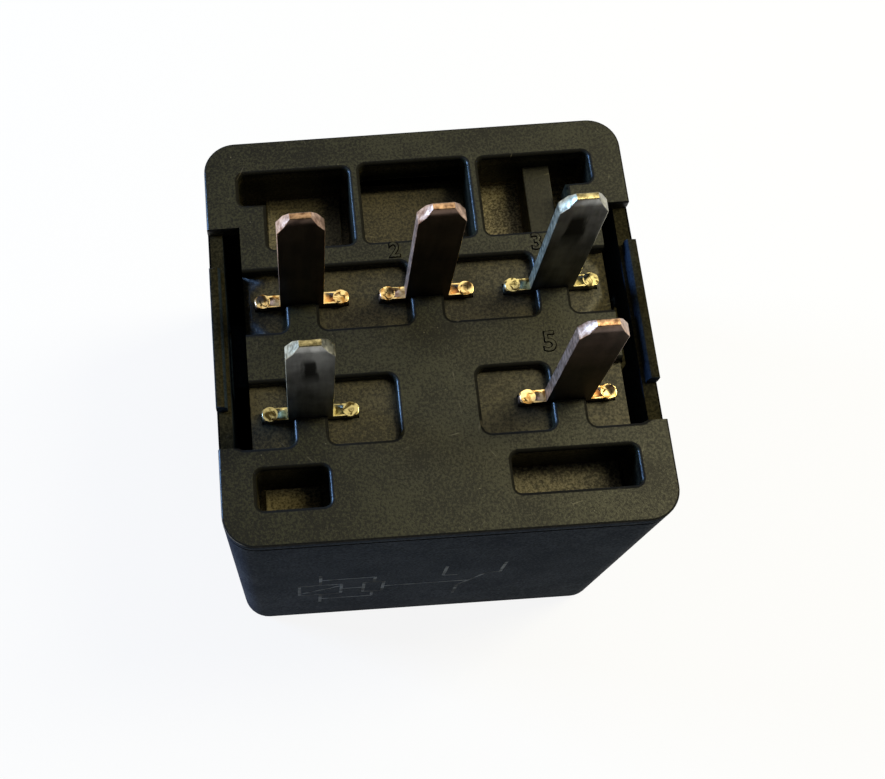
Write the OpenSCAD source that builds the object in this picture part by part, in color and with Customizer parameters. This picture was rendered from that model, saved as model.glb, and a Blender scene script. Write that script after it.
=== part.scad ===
// Five-terminal automotive changeover relay, plug-in type, 28 mm cube body.
// Millimetres. +Z up, terminals upward, origin at the centre of the cover's closed end.
// X runs along the rows of terminals, Y across them.

/* [Body] */
// Width of the body along X
body_w = 28; // [27:0.1:30]
// Depth of the body along Y
body_d = 27.9; // [27:0.1:30]
// Height of the body without its terminals
body_h = 26.3; // [26:0.1:30]
// Radius of the upright corners
corner_r = 2.1; // [1.5:0.1:3]
// How much each side of the cover leans in by its closed end
draft = 0.2; // [0.05:0.05:0.4]
// Radius round the cover's closed end
end_edge_r = 0.65; // [0.3:0.05:0.9]
// Thickness of the cover's side walls
wall_t = 0.95; // [0.8:0.05:1.1]
// Thickness of the cover's closed end
end_t = 1.2; // [1:0.1:1.3]

/* [Base] */
// Thickness of the base flange that covers the rim of the cover
flange_t = 0.9; // [0.7:0.05:1.1]
// Depth of the base plug, from the flange's face to the inner end
plug_depth = 5.4; // [5.3:0.1:5.6]
// Gap between the plug and the cover's walls
plug_gap = 0.15; // [0.05:0.05:0.3]
// Half distance between the two side notches
notch_x = 11.85; // [11.8:0.05:12.2]
// Length of each side notch along Y
notch_len = 15.2; // [14:0.1:16]
// Depth of the shallow recesses beside the terminals
pad_depth = 0.8; // [0.5:0.05:1]
// Corner radius of the shallow recesses
pad_r = 0.55; // [0.3:0.05:0.8]
// Width of the land that each terminal stands on
land_w = 2.15; // [2:0.05:2.5]
// Corner radius of the deep pockets
pocket_r = 0.45; // [0.2:0.05:0.6]
// Depth of the deepest part of the pockets
pocket_deep = 4.7; // [4.3:0.1:4.8]
// Depth of the pockets' floor blocks
pocket_floor = 4; // [3:0.1:4.1]

/* [Latches] */
// Width of each latch tongue of the cover
tongue_w = 9.7; // [8:0.1:11]
// Thickness of each latch tongue
tongue_t = 0.72; // [0.6:0.02:0.8]
// Width of the window below each tongue, which the base's snap nose enters
window_w = 5; // [4:0.5:6]
// Height of that window
window_h = 2; // [1.5:0.1:2.4]

/* [Terminals] */
// Width of a terminal blade
blade_w = 2.8; // [2.8:0.1:2.8]
// Thickness of the terminal strip
strip_t = 0.8; // [0.8:0.1:0.8]
// Length of the blades above the base
blade_len = 11.5; // [10:0.1:12]
// Distance from the middle column to the outer columns
column_x = 8.1; // [8:0.05:8.2]
// Position of the row of three terminals
back_row_y = 2.2; // [2:0.1:2.4]
// Position of the row of two terminals
front_row_y = -5.5; // [-5.7:0.1:-5.3]
// Width across a terminal's shoulders
shoulder_w = 6.1; // [5.6:0.1:6.2]
// Width of the flat at a blade's tip
tip_w = 1.25; // [1:0.05:1.6]
// Height of the corner cuts at a blade's tip
tip_h = 1.3; // [1:0.1:1.6]
// Radius of the peened heads at the ends of the shoulders
peen_r = 0.48; // [0.4:0.02:0.5]
// Depth of the coined bevels on a tip's two faces
tip_bevel = 0.2; // [0.1:0.05:0.25]

/* [Magnet] */
// Room left between the magnet's rear end and the cover
rear_room = 0.5; // [0.3:0.05:0.7]
// Length of the armature's tail behind the yoke
tail_len = 1.9; // [1.7:0.1:2.1]
// Radius of the core
core_r = 2.5; // [2.3:0.1:2.6]
// Radius of the pole face
pole_r = 3.6; // [3.2:0.1:3.8]
// Thickness of the yoke
yoke_t = 1.5; // [1.3:0.1:1.6]
// Width of the yoke and the armature
yoke_w = 11; // [10:0.5:12]
// Half width of the bobbin's square flanges
flange_half = 6.4; // [6.2:0.1:6.4]
// Outer radius of the winding
winding_r = 6; // [5.5:0.1:6.1]

/* [Armature] */
// Height of the armature's upper face
armature_z = 5.2; // [5.1:0.1:5.4]
// Thickness of the armature
armature_t = 1.3; // [1.2:0.1:1.3]
// Angle through which the armature swings
swing = 2.5; // [2:0.1:2.6]
// Air left between the pole face and the pulled-in armature
residual_gap = 0.03; // [0.02:0.01:0.1]
// Thickness of the contact spring
leaf_t = 0.25; // [0.2:0.05:0.3]

/* [Contacts] */
// Position of the contacts along Y
contact_y = -9.2; // [-9.4:0.1:-9]
// Radius of the contact heads
contact_r = 1.6; // [1.3:0.1:1.7]
// Height of a contact head
contact_h = 0.6; // [0.5:0.05:0.6]
// Radius of the contacts' shanks
shank_r = 0.7; // [0.5:0.1:0.8]

/* [Hidden] */
$fn = 48;
eps = 0.01;
clear = 0.02;
face_z = body_h;
rim_z = face_z - flange_t;
plug_z = face_z - plug_depth;
inner_x = body_w/2 - wall_t;
inner_y = body_d/2 - wall_t;
columns = [-column_x, 0, column_x];
// shoulders of the terminals and the slots that hold them
shoulder_top = face_z - 0.15;
shoulder_h = 2.6;
slot_t = strip_t + 2*clear;
// snap noses of the base, in the windows of the cover
nose_h = 1.5;
nose_reach = 0.35;
root_w = blade_w;
// inner stack, from the cover's rear wall forward and from the yoke's hinge edge upward
coil_gap = 0.15;
tail_y = body_d/2 - wall_t - draft - rear_room;
yoke_back_y = tail_y - tail_len;
hinge_y = yoke_back_y - yoke_t;
coil_y = hinge_y - coil_gap - flange_half;
hinge_to_pole = hinge_y - (coil_y - pole_r);
pole_z = armature_z + hinge_to_pole*sin(swing) + residual_gap;
pole_t = 1;
bobbin_z = pole_z + pole_t;
yoke_top = plug_z - 1.3;
yoke_z = yoke_top - yoke_t;
yoke_front_y = coil_y - flange_half + 0.2;
bobbin_h = yoke_z - bobbin_z;
bobbin_flange_t = 0.8;
tube_r = core_r + 0.9;
tenon_r = 1.7;
hinge_gap = 0.04;
// armature outline and its spring
armature_front_y = coil_y - flange_half - coil_gap;
tail_w = 3.4;
leaf_z = armature_z - armature_t - leaf_t;
leaf_front_y = contact_y - 1.9;
leaf_w = 4.4;
leaf_wide = 7.8;
leaf_rivets = [[-2.6, coil_y - 1.35], [2.6, coil_y - 1.35], [0, coil_y + 2.85]];
leaf_edge = 1.9;
leaf_rivet_r = 0.7;
// the moving contact and the travel to the fixed contacts
contact_reach = hinge_y - contact_y;
moving_top = leaf_z + leaf_t + contact_h;
moving_bottom = leaf_z - contact_h;
contact_gap = (contact_reach + contact_r)*sin(swing) + residual_gap;
no_face_z = moving_top + contact_gap;
no_arm_z = no_face_z + contact_h;
nc_face_z = moving_bottom - clear;
nc_arm_z = nc_face_z - contact_h - strip_t;
arm_w = 3.4;
arm_over = 1.9;
// rivets that hold the common terminal on the yoke
foot_rivet_y = coil_y + 4.05;
foot_rivets = [[-1.7, foot_rivet_y], [1.7, foot_rivet_y]];
foot_edge = 2;
foot_w = 6;
foot_rivet_r = 0.75;
// return spring and its tab
spring_y = yoke_back_y + 1.1;
spring_r = 0.75;
spring_wire_r = 0.15;
spring_turns = 11;
spring_low_z = armature_z + 0.5;
tab_z = 13.4;
tab_t = 1;
spring_high_z = tab_z - 0.5;
hook_hole_r = 0.4;
// flexible strap beside it
shunt_w = 2;
shunt_t = 0.6;
shunt_bow = 0.9;
shunt_x = -5;
shunt_end_gap = 0.1;
shunt_weld = 1.4;
shunt_h = 6;
// resistor across the coil
resistor_r = 1.15;
resistor_y = coil_y - flange_half - resistor_r - 0.4;
resistor_z = yoke_z - 1.6;
resistor_len = 6.2;
lead_r = 0.25;
coil_post_z = 15.4;
coil_post_w = 1.4;
wire_r = 0.12;

// A rectangle with rounded corners, given by its two x and two y edges.
module rounded(x0, x1, y0, y1, r) {
    translate([x0 + r, y0]) square([x1 - x0 - 2*r, y1 - y0]);
    translate([x0, y0 + r]) square([x1 - x0, y1 - y0 - 2*r]);
    for (x = [x0 + r, x1 - r], y = [y0 + r, y1 - r]) translate([x, y]) circle(r);
}

// A recess cut down from the base's face.
module recess(x0, x1, y0, y1, depth, r) {
    translate([0, 0, face_z - depth]) linear_extrude(depth + 1) rounded(x0, x1, y0, y1, r);
}

// A box given by its two corners.
module box(a, b) {
    translate(a) cube(b - a);
}

// Unit vector along v.
function unit(v) = v/norm(v);

// A round wire along a list of points; side is a direction that no stretch of it runs along.
module wire(points, r, side, ring = 8) {
    last = len(points) - 1;
    rings = [for (i = [0 : last])
        let (t = unit(points[min(i + 1, last)] - points[max(i - 1, 0)]),
             u = unit(cross(t, side)), v = cross(t, u))
        for (k = [0 : ring - 1]) points[i] + r*cos(360*k/ring)*u + r*sin(360*k/ring)*v];
    sides = [for (i = [0 : last - 1], k = [0 : ring - 1], half = [0, 1])
        let (k2 = (k + 1)%ring, p = i*ring, q = (i + 1)*ring)
        half == 0 ? [p + k, q + k, q + k2] : [p + k, q + k2, p + k2]];
    start = [for (k = [1 : ring - 2]) [0, k, k + 1]];
    end = [for (k = [1 : ring - 2]) [last*ring, last*ring + k + 1, last*ring + k]];
    polyhedron(points = rings, faces = concat(sides, start, end), convexity = 10);
}

// ---- base ----

// Deep pockets that keep the base's walls even; they mirror each other behind the outer terminals.
pocket_back_y = 11.55;
pocket_near_y = 5.9;
pocket_step_y = 9.25;
pocket_out_x = 11.75;
pocket_step_x = 10;
pocket_in_x = 4.35;
pocket_mid_x = 3.6;
pocket_mid_depth = 3.1;
ledge_depth = 2.2;
ledge_w = 0.12;
rib_x = 7.6;
rib_w = 1.85;
rib_depth = 1.7;
front_pocket_y = -11.65;
front_pocket_w = 2.55;

module corner_pocket(depth) {
    recess(pocket_in_x, pocket_step_x, pocket_near_y, pocket_back_y, depth, pocket_r);
    recess(pocket_in_x, pocket_out_x, pocket_step_y, pocket_back_y, depth, pocket_r);
}

// Deep pocket between two x edges in the front row.
module front_pocket(x0, x1) {
    recess(x0, x1, front_pocket_y, front_pocket_y + front_pocket_w, pocket_deep, pocket_r);
}

// Block left standing in a pocket, from x0 to x1 and y0 to y1, with its top at the given depth.
module block(x0, x1, y0, y1, depth) {
    box([x0, y0, plug_z], [x1, y1, face_z - depth]);
}

module pockets() {
    near = pocket_near_y - 1;
    back = pocket_back_y + 1;
    front = front_pocket_y - 1;
    front_back = front_pocket_y + front_pocket_w;
    // left rear, with its floor block short of the right wall
    difference() {
        mirror([1, 0, 0]) corner_pocket(pocket_deep);
        block(-pocket_step_x, -pocket_in_x - 0.5, near, back, pocket_floor);
    }
    // middle rear
    recess(-pocket_mid_x, pocket_mid_x, pocket_near_y, pocket_back_y, pocket_mid_depth, pocket_r);
    recess(-pocket_mid_x, pocket_mid_x, pocket_near_y, pocket_back_y + ledge_w, ledge_depth, pocket_r);
    // right rear, with a high rib beside its floor block
    difference() {
        corner_pocket(pocket_deep);
        block(rib_x, rib_x + rib_w, near, back, rib_depth);
        block(pocket_in_x - 1, rib_x + eps, near, back, pocket_floor);
    }
    // left front, with its floor block set in on three sides
    difference() {
        front_pocket(-pocket_out_x, -7.25);
        block(-pocket_out_x + 0.45, -7.75, front, front_back - 0.3, pocket_floor - 0.4);
    }
    // right front, with its floor block short of the right wall
    difference() {
        front_pocket(4.05, pocket_out_x + 0.05);
        block(3, pocket_out_x - 0.35, front, front_back + 1, pocket_floor - 0.5);
    }
}

// Shallow recesses on both sides of each terminal; the outer ones open into the notches.
module pads() {
    half = land_w/2;
    back = [0, 4.35];
    front = [-7.7, -3.4];
    outer = notch_x + 1;
    for (s = [-1, 1]) {
        recess(min(s*outer, s*(column_x + half)), max(s*outer, s*(column_x + half)),
               back[0], back[1], pad_depth, pad_r);
        recess(min(s*outer, s*(column_x + half)), max(s*outer, s*(column_x + half)),
               front[0], front[1], pad_depth, pad_r);
        recess(min(s*half, s*(column_x - half)), max(s*half, s*(column_x - half)),
               back[0], back[1], pad_depth, pad_r);
        recess(min(s*2.57, s*(column_x - half)), max(s*2.57, s*(column_x - half)),
               front[0], front[1], pad_depth, pad_r);
    }
}

// Slot for one terminal: wide at the face for the shoulders, narrow below.
module terminal_slot(x, y) {
    translate([x - shoulder_w/2 - clear, y - slot_t/2, shoulder_top - shoulder_h])
        cube([shoulder_w + 2*clear, slot_t, shoulder_h + 1]);
    translate([x - root_w/2 - clear, y - slot_t/2, plug_z - 1])
        cube([root_w + 2*clear, slot_t, plug_depth]);
}

module base() {
    color("#4a4740")
    difference() {
        union() {
            translate([0, 0, rim_z]) linear_extrude(flange_t)
                rounded(-body_w/2, body_w/2, -body_d/2, body_d/2, corner_r);
            translate([0, 0, plug_z]) linear_extrude(plug_depth - flange_t + eps)
                rounded(-inner_x + plug_gap, inner_x - plug_gap,
                        -inner_y + plug_gap, inner_y - plug_gap, corner_r - wall_t);
            // posts that bear on the yoke
            for (x = [-4.4, 4.4]) translate([x, yoke_front_y + 2.35, yoke_top])
                cylinder(h = plug_z - yoke_top + eps, r = 0.9);
        }
        // side notches, with a snap nose left low down in each
        for (s = [-1, 1])
            difference() {
                translate([s*(notch_x + 5), 0, face_z]) cube([10, notch_len, 20], center = true);
                box([-20, -window_w/2 + 0.3, plug_z - 1], [20, window_w/2 - 0.3, plug_z + nose_h]);
            }
        for (s = [-1, 1])
            translate([s*(inner_x + nose_reach + 5), 0, plug_z]) cube([10, notch_len, 6], center = true);
        pockets();
        pads();
        for (x = columns) terminal_slot(x, back_row_y);
        for (x = [-column_x, column_x]) terminal_slot(x, front_row_y);
    }
}

// ---- cover ----

// One corner of the cover's outside: a slim cone whose end edge is rounded.
module cover_corner(r_top, r_end, h, edge) {
    rotate_extrude($fn = 32)
        polygon(concat([[0, 0]],
            [for (a = [-90 : 22.5 : 0]) [r_end - edge + edge*cos(a), edge + edge*sin(a)]],
            [[r_top, h], [0, h]]));
}

// The cover's solid shape; the sides lean in toward the closed end.
module cover_block(inset, z0, edge) {
    lean = draft;
    r = corner_r - inset;
    hull()
        for (sx = [-1, 1], sy = [-1, 1])
            translate([sx*(body_w/2 - corner_r), sy*(body_d/2 - corner_r), z0])
                cover_corner(r, r - lean, face_z - z0, edge);
}

module cover() {
    color("#23262b")
    difference() {
        cover_block(0, 0, end_edge_r);
        cover_block(wall_t, end_t, 0.4);
        // the rim ends under the flange, except at the two latch tongues
        difference() {
            translate([0, 0, rim_z + 5]) cube([40, 40, 10], center = true);
            translate([0, 0, rim_z]) cube([40, tongue_w, 30], center = true);
        }
        // above the rim the tongues are thinner than the wall
        translate([0, 0, rim_z + 5]) cube([body_w - 2*tongue_t, 40, 10], center = true);
        // windows for the base's snap noses
        for (s = [-1, 1])
            translate([s*inner_x, 0, plug_z + nose_h - window_h/2 + 0.2])
                cube([4, window_w, window_h], center = true);
    }
}

// ---- terminals ----

// Blade outline in x and z, with its corners cut toward the tip.
module blade_outline() {
    polygon([[-blade_w/2, -1], [blade_w/2, -1], [blade_w/2, blade_len - tip_h],
             [tip_w/2, blade_len], [-tip_w/2, blade_len], [-blade_w/2, blade_len - tip_h]]);
}

// Blade section in y and z, with coined bevels on both faces of the tip.
module blade_section() {
    h = strip_t/2;
    bevel_z = blade_len - 3*tip_bevel;
    polygon([[-h, -1], [h, -1], [h, bevel_z], [h - tip_bevel, blade_len],
             [-h + tip_bevel, blade_len], [-h, bevel_z]]);
}

// A blade with its shoulders and the root that passes through the base.
module terminal(x, y, root_end) {
    translate([x, y, face_z])
        intersection() {
            translate([0, strip_t/2, 0]) rotate([90, 0, 0]) linear_extrude(strip_t) blade_outline();
            translate([-blade_w/2 - 1, 0, 0]) rotate([90, 0, 90]) linear_extrude(blade_w + 2)
                blade_section();
        }
    translate([x - shoulder_w/2, y - strip_t/2, shoulder_top - shoulder_h])
        cube([shoulder_w, strip_t, shoulder_h]);
    for (s = [-1, 1]) translate([x + s*(shoulder_w/2 - peen_r - 0.05), y, shoulder_top - 0.3])
        cylinder(h = 0.36, r = peen_r);
    translate([x - root_w/2, y - strip_t/2, root_end])
        cube([root_w, strip_t, shoulder_top - root_end]);
}

// Coil terminals end in a slim post for the winding's wire.
module coil_terminal(x) {
    terminal(x, back_row_y, plug_z - 0.6);
    translate([x - coil_post_w/2, back_row_y - strip_t/2, coil_post_z])
        cube([coil_post_w, strip_t, plug_z - coil_post_z]);
}

module coil_terminal_left() {
    color("#7a5a48") coil_terminal(-column_x);
}

module coil_terminal_right() {
    color("#8d8878") coil_terminal(column_x);
}

// The common terminal turns over into a foot that lies on the yoke.
module common_terminal() {
    foot_y = back_row_y - strip_t/2;
    foot_len = foot_rivet_y + foot_edge - foot_y;
    color("#7a5a48") {
        difference() {
            union() {
                terminal(0, back_row_y, yoke_top);
                translate([-foot_w/2, foot_y, yoke_top]) cube([foot_w, foot_len, strip_t]);
            }
            for (p = foot_rivets) translate([p.x, p.y, yoke_top - 1])
                cylinder(h = 4, r = foot_rivet_r + clear);
        }
    }
}

// Contact arm: a plate folded out from the root and reaching across to the contacts.
module contact_terminal(side, arm_z) {
    x = side*column_x;
    front = contact_y - arm_over;
    difference() {
        union() {
            terminal(x, front_row_y, arm_z);
            translate([x - root_w/2, front, arm_z])
                cube([root_w, front_row_y + strip_t/2 - front, strip_t]);
            translate([min(-side*arm_over, x), front, arm_z])
                cube([column_x + arm_over, arm_w, strip_t]);
        }
        translate([0, contact_y, arm_z - 1]) cylinder(h = strip_t + 2, r = shank_r + clear);
    }
}

module closed_contact_terminal() {
    color("#8d8878") contact_terminal(-1, nc_arm_z);
}

module open_contact_terminal() {
    color("#7a5a48") contact_terminal(1, no_arm_z);
}

// ---- magnet ----

module yoke() {
    color("#b9bcc0")
    difference() {
        union() {
            translate([-yoke_w/2, yoke_front_y, yoke_z])
                cube([yoke_w, yoke_back_y - yoke_front_y, yoke_t]);
            translate([-yoke_w/2, hinge_y, armature_z + hinge_gap])
                cube([yoke_w, yoke_t, yoke_top - armature_z - hinge_gap]);
            // tab for the return spring
            translate([-1.5, yoke_back_y - eps, tab_z]) cube([3, 2 + eps, tab_t]);
        }
        translate([0, coil_y, yoke_z - 1]) cylinder(h = yoke_t + 2, r = tenon_r + clear);
        for (p = foot_rivets) translate([p.x, p.y, yoke_z - 1])
            cylinder(h = yoke_t + 2, r = foot_rivet_r + clear);
        translate([0, spring_y, tab_z - 1]) cylinder(h = tab_t + 2, r = hook_hole_r);
    }
}

module core() {
    color("#c4c6c8")
    translate([0, coil_y, 0]) {
        translate([0, 0, pole_z]) cylinder(h = pole_t, r = pole_r);
        translate([0, 0, pole_z]) cylinder(h = yoke_z - pole_z, r = core_r);
        translate([0, 0, pole_z]) cylinder(h = yoke_top - pole_z, r = tenon_r);
    }
}

module bobbin() {
    color("#d8d3c4")
    translate([0, coil_y, 0])
        difference() {
            union() {
                for (z = [bobbin_z, yoke_z - bobbin_flange_t])
                    translate([0, 0, z]) linear_extrude(bobbin_flange_t)
                        rounded(-flange_half, flange_half, -flange_half, flange_half, 1.5);
                translate([0, 0, bobbin_z]) cylinder(h = bobbin_h, r = tube_r);
            }
            translate([0, 0, bobbin_z - 1]) cylinder(h = bobbin_h + 2, r = core_r + clear);
        }
}

// The winding, with its two ends led out to the coil terminals.
module coil_winding() {
    low = bobbin_z + bobbin_flange_t + clear;
    high = yoke_z - bobbin_flange_t - clear;
    color("#9c4a22") {
        translate([0, coil_y, low])
            difference() {
                cylinder(h = high - low, r = winding_r);
                translate([0, 0, -1]) cylinder(h = high - low + 2, r = tube_r + clear);
            }
        for (s = [-1, 1])
            wire([[s*(winding_r - 0.1), coil_y, high - 1],
                  [s*(winding_r + 0.5), coil_y, high - 1.3],
                  [s*(column_x - coil_post_w/2 + 0.05), back_row_y, coil_post_z + 0.6]],
                 wire_r, [0, 1, 0]);
    }
}

// ---- armature ----

module armature() {
    z = armature_z - armature_t;
    color("#aeb2b6")
    difference() {
        union() {
            translate([-yoke_w/2, armature_front_y, z])
                cube([yoke_w, yoke_back_y - armature_front_y, armature_t]);
            translate([-tail_w/2, yoke_back_y - eps, z])
                cube([tail_w, tail_y - yoke_back_y + eps, armature_t]);
        }
        for (p = leaf_rivets) translate([p.x, p.y, z - 1])
            cylinder(h = armature_t + 2, r = leaf_rivet_r + clear);
        translate([0, spring_y, z - 1]) cylinder(h = armature_t + 2, r = hook_hole_r);
    }
}

// Flat copper spring under the armature: wide where it is riveted, slim toward the contact.
module contact_spring() {
    color("#c08a4a")
    difference() {
        translate([0, 0, leaf_z]) linear_extrude(leaf_t) {
            rounded(-leaf_w/2, leaf_w/2, leaf_front_y, leaf_rivets[2].y, 1);
            rounded(-leaf_wide/2, leaf_wide/2, leaf_rivets[0].y - leaf_edge,
                    leaf_rivets[2].y + leaf_edge, 0.8);
        }
        for (p = leaf_rivets) translate([p.x, p.y, leaf_z - 1])
            cylinder(h = leaf_t + 2, r = leaf_rivet_r + clear);
        translate([0, contact_y, leaf_z - 1]) cylinder(h = leaf_t + 2, r = shank_r + clear);
    }
}

// Rivets flush with the armature's upper face and headed under the spring.
module spring_rivets() {
    color("#c9b37a")
    for (p = leaf_rivets) translate([p.x, p.y, 0]) {
        translate([0, 0, leaf_z - 0.4]) cylinder(h = 0.4, r = leaf_rivet_r + 0.5);
        translate([0, 0, leaf_z - 0.4]) cylinder(h = armature_z - leaf_z + 0.4, r = leaf_rivet_r);
    }
}

// A domed contact head on its flat rim.
module contact_head(up) {
    mirror([0, 0, up ? 0 : 1])
        rotate_extrude()
            polygon([[0, 0], [contact_r, 0], [contact_r, contact_h - 0.2],
                     [contact_r - 0.35, contact_h], [0, contact_h]]);
}

module moving_contact() {
    color("#d9d9d6")
    translate([0, contact_y, 0]) {
        translate([0, 0, leaf_z + leaf_t]) contact_head(true);
        translate([0, 0, leaf_z]) contact_head(false);
        translate([0, 0, leaf_z - eps]) cylinder(h = leaf_t + 2*eps, r = shank_r);
    }
}

// Rest contact: its head points up at the moving contact, its shank is set in the arm.
module closed_contact() {
    color("#d9d9d6")
    translate([0, contact_y, nc_arm_z + strip_t]) {
        contact_head(true);
        translate([0, 0, -strip_t]) cylinder(h = strip_t + eps, r = shank_r);
    }
}

// Working contact: its head points down at the moving contact.
module open_contact() {
    color("#d9d9d6")
    translate([0, contact_y, no_arm_z]) {
        contact_head(false);
        translate([0, 0, -eps]) cylinder(h = strip_t + eps, r = shank_r);
    }
}

// ---- small parts ----

// Extension spring behind the yoke, hooked through the tab and the armature's tail.
module return_spring() {
    over = 0.25;
    steps = spring_turns*14;
    rise = spring_high_z - spring_low_z;
    color("#a9adb2")
    translate([0, spring_y, 0]) {
        wire([for (i = [0 : steps])
                [spring_r*cos(360*i/14), spring_r*sin(360*i/14), spring_low_z + rise*i/steps]],
             spring_wire_r, [0, 0, 1], 6);
        wire([[spring_r, 0, spring_high_z], [0, 0, spring_high_z + 0.25],
              [0, 0, tab_z + tab_t + over], [-0.7, 0, tab_z + tab_t + over]], spring_wire_r, [0, 1, 0]);
        wire([[spring_r, 0, spring_low_z], [0, 0, spring_low_z - 0.25],
              [0, 0, armature_z - armature_t - over], [-0.7, 0, armature_z - armature_t - over]],
             spring_wire_r, [0, 1, 0]);
    }
}

// Braided copper strap from the yoke's back, bowed out and down to the armature's rear edge.
module flexible_shunt() {
    t = shunt_t;
    gap = shunt_end_gap;
    out = shunt_bow;
    high = shunt_h - shunt_weld;
    low = shunt_weld - armature_t;
    color("#b3683c")
    translate([shunt_x, yoke_back_y, armature_z]) rotate([90, 0, 90]) linear_extrude(shunt_w)
        polygon([[0, shunt_h], [t, shunt_h], [t, high], [out + t, high - out],
                 [out + t, low + out + t], [gap + t, low + t/2], [gap + t, -armature_t], [gap, -armature_t],
                 [gap, low + t], [out, low + out + 1.4*t], [out, high - out - t/2], [0, high - t/2]]);
}

module common_rivets() {
    color("#c9ccd0")
    for (p = foot_rivets) translate([p.x, p.y, 0]) {
        translate([0, 0, yoke_top + strip_t]) cylinder(h = 0.35, r = foot_rivet_r + 0.4);
        translate([0, 0, yoke_z]) cylinder(h = yoke_t + strip_t + 0.35, r = foot_rivet_r);
    }
}

// Suppression resistor lying across the front of the coil.
module resistor() {
    color("#a9c4cf")
    translate([0, resistor_y, resistor_z]) rotate([0, 90, 0])
        rotate_extrude()
            polygon([[0, -resistor_len/2], [resistor_r - 0.1, -resistor_len/2],
                     [resistor_r, -resistor_len/2 + 0.3], [resistor_r, -resistor_len/2 + 1.2],
                     [resistor_r - 0.15, -resistor_len/2 + 1.5], [resistor_r - 0.15, resistor_len/2 - 1.5],
                     [resistor_r, resistor_len/2 - 1.2], [resistor_r, resistor_len/2 - 0.3],
                     [resistor_r - 0.1, resistor_len/2], [0, resistor_len/2]]);
}

module resistor_leads() {
    color("#cfd2d4")
    for (s = [-1, 1])
        wire([[s*resistor_len/2, resistor_y, resistor_z],
              [s*(resistor_len/2 + 1.2), resistor_y, resistor_z],
              [s*(resistor_len/2 + 2.2), resistor_y + 0.7, resistor_z],
              [s*(column_x - coil_post_w/2 - lead_r), -1, resistor_z],
              [s*(column_x - coil_post_w/2 - lead_r), back_row_y + 0.3, resistor_z]],
             lead_r, [0, 0, 1]);
}

base();
cover();
coil_terminal_left();
common_terminal();
coil_terminal_right();
closed_contact_terminal();
open_contact_terminal();
yoke();
core();
bobbin();
coil_winding();
armature();
contact_spring();
spring_rivets();
moving_contact();
closed_contact();
open_contact();
return_spring();
flexible_shunt();
common_rivets();
resistor();
resistor_leads();
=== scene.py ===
# %% [markdown]
# # A plug-in automotive relay
# The relay is a small black cube with five flat blades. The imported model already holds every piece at
# its real size. The pieces could be modelled again here, but then their sizes might drift away from the
# model's. So this script loads the model as a fixed frame, gives its pieces their finishes, adds what
# only the eye needs, such as softened edges and printed lines, and sets up a plain studio round them.

# %% Load the frame
import bmesh
import bpy
from math import atan2, radians
from mathutils import Matrix, Vector


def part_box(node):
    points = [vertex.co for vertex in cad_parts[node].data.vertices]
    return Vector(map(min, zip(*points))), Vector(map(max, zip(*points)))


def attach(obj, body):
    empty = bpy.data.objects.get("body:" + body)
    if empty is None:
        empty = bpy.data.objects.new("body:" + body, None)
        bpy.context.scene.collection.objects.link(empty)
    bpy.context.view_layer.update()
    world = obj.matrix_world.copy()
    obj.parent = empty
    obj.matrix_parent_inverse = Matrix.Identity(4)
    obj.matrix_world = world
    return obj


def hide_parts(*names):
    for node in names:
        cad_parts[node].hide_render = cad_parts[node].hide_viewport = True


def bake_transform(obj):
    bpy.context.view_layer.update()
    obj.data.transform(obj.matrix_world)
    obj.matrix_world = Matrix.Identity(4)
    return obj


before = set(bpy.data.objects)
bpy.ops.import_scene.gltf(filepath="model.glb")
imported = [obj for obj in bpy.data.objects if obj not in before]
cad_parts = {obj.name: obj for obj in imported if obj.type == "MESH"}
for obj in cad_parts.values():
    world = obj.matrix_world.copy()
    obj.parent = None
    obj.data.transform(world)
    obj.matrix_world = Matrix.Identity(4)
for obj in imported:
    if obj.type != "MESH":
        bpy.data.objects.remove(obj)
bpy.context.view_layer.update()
MM = 0.001
print("nodes:", ", ".join(sorted(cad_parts)))

# %% [markdown]
# ## Measures
# The relay stands on the closed end of its cover, and its blades point up. Sizes could be typed in
# again, but they are read from the model, so that they always agree with it. Most of what follows hangs
# on the height of the base's face, and on where the blades stand: in columns along X and in two rows
# along Y.

# %% Measures taken from the model
base_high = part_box("base")[1]
cover_low, cover_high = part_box("cover")
blade_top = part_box("common_terminal")[1][2]
face_z = base_high[2]
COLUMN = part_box("coil_terminal_right")[1][0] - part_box("common_terminal")[1][0]
print("base face at %.2f mm, blade tips at %.2f mm" % (face_z/MM, blade_top/MM))
print("columns %.2f mm apart" % (COLUMN/MM))


def depth(size):
    """The height of a level that many millimetres below the base's face."""
    return face_z - size*MM


TERMINALS = ["coil_terminal_left", "common_terminal", "coil_terminal_right",
             "closed_contact_terminal", "open_contact_terminal"]
TIP = 3*MM


def blade_place(node):
    """Where a blade stands in x and y: the middle of its corners near the tip."""
    corners = [v.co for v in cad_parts[node].data.vertices if v.co.z > blade_top - TIP]
    return sum(c.x for c in corners)/len(corners), sum(c.y for c in corners)/len(corners)


PLACES = {name: blade_place(name) for name in TERMINALS}
for name, (x, y) in PLACES.items():
    print(name, "at x %.2f, y %.2f mm" % (x/MM, y/MM))

# %% [markdown]
# ## Camera
# The view looks down on the blades from the front. A long lens far away would draw all edges parallel,
# but this camera stands close, so that the cover's sides run together toward the closed end. It could be
# turned toward the relay's middle, but a sideways shift only slides the picture, and keeps the upright
# edges' perspective as it is, with the relay left of the picture's middle.

# %% Camera
CAMERA_PLACE = Vector((-9.883, -31.058, 101.860))*MM
CAMERA_AIM = Vector((-9.919, -3.931, 26.3))*MM
CAMERA_ROLL = -4.01
LENS = 51.83
SENSOR = 36
SHIFT = 0.184
NEAREST_SEEN = 5*MM

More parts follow.
